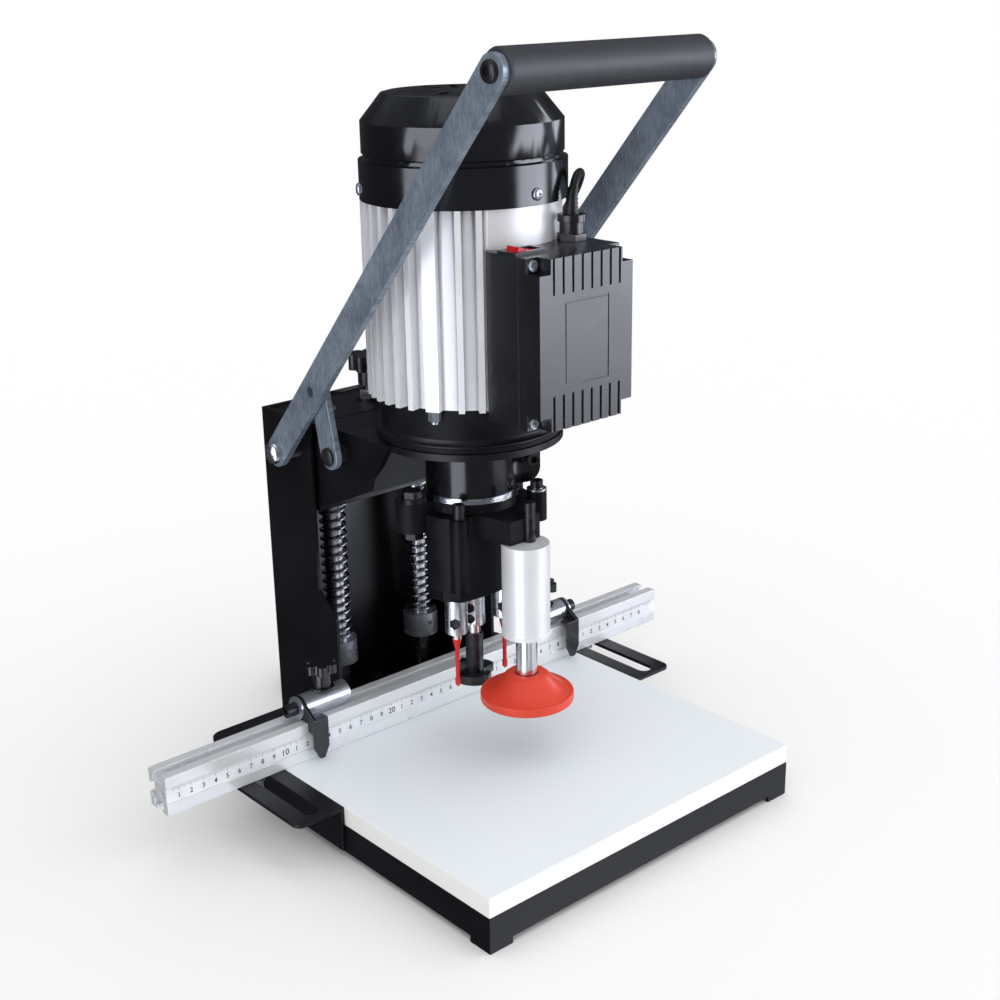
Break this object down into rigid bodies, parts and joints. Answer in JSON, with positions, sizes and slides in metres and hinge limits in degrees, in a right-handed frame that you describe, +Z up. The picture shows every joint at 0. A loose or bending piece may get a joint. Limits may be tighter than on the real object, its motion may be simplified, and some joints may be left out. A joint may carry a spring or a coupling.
{
  "type": "hinge boring machine",
  "caption": "Bench machine that bores a cup hinge's hole and its dowel holes: sprung motor head on guide rods, lever handle, press foot and ruled fence.",
  "frame": {"origin": "on the bench under the middle of the base tray", "axes": "+X along the fence to the operator's right, +Y to the back, +Z up"},
  "size_m": [0.5, 0.4548, 0.5628],
  "materials": {
    "black_powder_coat": "satin black powder coat on folded steel",
    "white_melamine": "white melamine faced board",
    "zinc_plated_steel": "zinc plated, mottled blue-grey",
    "bright_steel": "ground bright steel",
    "black_oxide_steel": "black oxide",
    "spring_steel": "spring wire",
    "fence_aluminium": "natural anodised extrusion",
    "ruler_aluminium": "printed strip with plain numbers",
    "cast_aluminium": "satin silver barrel and turned cylinder",
    "black_casting": "black enamelled casting",
    "black_gloss_cover": "gloss black",
    "black_plastic": "moulded black plastic",
    "red_plastic": "translucent red rocker",
    "grip_rubber": "matt grip sleeve",
    "cord_rubber": "cord jacket",
    "red_rubber": "red press pad",
    "red_coated_steel": "red coated drill",
    "winding_copper": "laminations and windings",
    "capacitor_shell": "plain plastic can"
  },
  "bodies": {
    "frame": {"base_tray": "black_powder_coat", "table_board": "white_melamine", "left_ear_bracket": "black_powder_coat", "right_ear_bracket": "black_powder_coat", "column": "black_powder_coat", "column_top_plate": "black_powder_coat", "column_bolts": "black_oxide_steel", "guide_rods": "bright_steel", "spring_collars": "zinc_plated_steel", "return_springs": "spring_steel", "handle_pivot_bolts": "zinc_plated_steel", "mains_cord": "cord_rubber", "cord_coil": "cord_rubber", "mains_plug": "black_plastic"},
    "height_stop": {"stop_knob": "black_plastic"},
    "fence": {"fence_rail": "fence_aluminium", "ruler_strip": "ruler_aluminium", "fence_clamp_bolts": "zinc_plated_steel"},
    "left_stop": {"left_stop_block": "zinc_plated_steel"},
    "left_flipper": {"left_stop_finger": "black_plastic"},
    "left_clamp": {"left_stop_knob": "black_plastic"},
    "right_stop": {"right_stop_block": "zinc_plated_steel"},
    "right_flipper": {"right_stop_finger": "black_plastic"},
    "right_clamp": {"right_stop_knob": "black_plastic"},
    "head": {"carriage": "black_powder_coat", "guide_bushes": "bright_steel", "motor_end_bell": "black_casting", "motor_housing": "cast_aluminium", "stator": "winding_copper", "fan_cover": "black_gloss_cover", "motor_screws": "zinc_plated_steel", "switch_box": "black_plastic", "switch_cover": "black_plastic", "switch_frame": "black_plastic", "start_capacitor": "capacitor_shell", "cable_gland": "black_plastic", "clamp_sleeve": "black_gloss_cover", "gearbox_housing": "black_casting", "gearbox_cover": "black_casting", "gearbox_bolts": "black_oxide_steel", "bearings": "bright_steel", "foot_cylinder": "cast_aluminium", "foot_spring": "spring_steel", "link_bolts": "black_oxide_steel"},
    "main_spindle": {"rotor": "bright_steel", "cooling_fan": "black_plastic", "centre_spindle": "bright_steel", "hinge_cutter": "black_oxide_steel"},
    "left_drill": {"left_spindle": "bright_steel", "left_bit": "red_coated_steel"},
    "right_drill": {"right_spindle": "bright_steel", "right_bit": "red_coated_steel"},
    "press_foot": {"foot_rod": "bright_steel", "foot_cup": "red_rubber"},
    "switch_rocker": {"rocker": "red_plastic"},
    "handle": {"handle_bars": "zinc_plated_steel", "grip": "grip_rubber", "grip_rod": "zinc_plated_steel", "grip_bolts": "black_oxide_steel"},
    "links": {"link_bars": "zinc_plated_steel"}
  },
  "joints": [
    {"name": "head_slide", "type": "slide", "parent": "frame", "child": "head", "axis": [0, 0, -1], "range_m": [0, 0.036], "stiffness_N_per_m": 3000, "springref_m": -0.1, "deforming": ["return_springs"]},
    {"name": "handle_swing", "type": "hinge", "parent": "frame", "child": "handle", "pos_m": [0, 0.134, 0.2605], "axis": [1, 0, 0], "range_deg": [0, 34.2]},
    {"name": "link_swing", "type": "hinge", "parent": "head", "child": "links", "pos_m": [0, 0.073, 0.2695], "axis": [1, 0, 0], "range_deg": [0, 27.4]},
    {"name": "foot_slide", "type": "slide", "parent": "head", "child": "press_foot", "axis": [0, 0, 1], "range_m": [0, 0.022], "stiffness_N_per_m": 800, "springref_m": -0.012, "deforming": ["foot_spring"]},
    {"name": "centre_spin", "type": "hinge", "parent": "head", "child": "main_spindle", "pos_m": [0, 0.016, 0.3], "axis": [0, 0, 1], "continuous": true},
    {"name": "left_spin", "type": "hinge", "parent": "head", "child": "left_drill", "pos_m": [-0.024, 0.008, 0.18], "axis": [0, 0, 1], "continuous": true},
    {"name": "right_spin", "type": "hinge", "parent": "head", "child": "right_drill", "pos_m": [0.024, 0.008, 0.18], "axis": [0, 0, 1], "continuous": true},
    {"name": "rocker_tilt", "type": "hinge", "parent": "head", "child": "switch_rocker", "pos_m": [-0.02, -0.067, 0.427], "axis": [0, -1, 0], "range_deg": [0, 20]},
    {"name": "height_stop_turn", "type": "hinge", "parent": "frame", "child": "height_stop", "pos_m": [0, 0.137, 0.3], "axis": [0, 0, 1], "continuous": true},
    {"name": "fence_slide", "type": "slide", "parent": "frame", "child": "fence", "axis": [0, -1, 0], "range_m": [0, 0.022]},
    {"name": "left_stop_slide", "type": "slide", "parent": "fence", "child": "left_stop", "axis": [-1, 0, 0], "range_m": [-0.006, 0.1]},
    {"name": "right_stop_slide", "type": "slide", "parent": "fence", "child": "right_stop", "axis": [1, 0, 0], "range_m": [-0.02, 0.085]},
    {"name": "left_finger_flip", "type": "hinge", "parent": "left_stop", "child": "left_flipper", "pos_m": [-0.1277, 0.071, 0.0814], "axis": [1, 0, 0], "range_deg": [-100, 0]},
    {"name": "right_finger_flip", "type": "hinge", "parent": "right_stop", "child": "right_flipper", "pos_m": [0.1447, 0.071, 0.0814], "axis": [1, 0, 0], "range_deg": [-100, 0]},
    {"name": "left_knob_turn", "type": "hinge", "parent": "left_stop", "child": "left_clamp", "pos_m": [-0.106, 0.071, 0.1], "axis": [0, 0, 1], "continuous": true},
    {"name": "right_knob_turn", "type": "hinge", "parent": "right_stop", "child": "right_clamp", "pos_m": [0.123, 0.071, 0.1], "axis": [0, 0, 1], "continuous": true}
  ],
  "couplings": [
    {"joint": "handle_swing", "follows": "head_slide", "rad_per_m": 16.5},
    {"joint": "link_swing", "follows": "head_slide", "rad_per_m": 13.2},
    {"joint": "left_spin", "follows": "centre_spin", "ratio": -1},
    {"joint": "right_spin", "follows": "centre_spin", "ratio": -1}
  ]
}
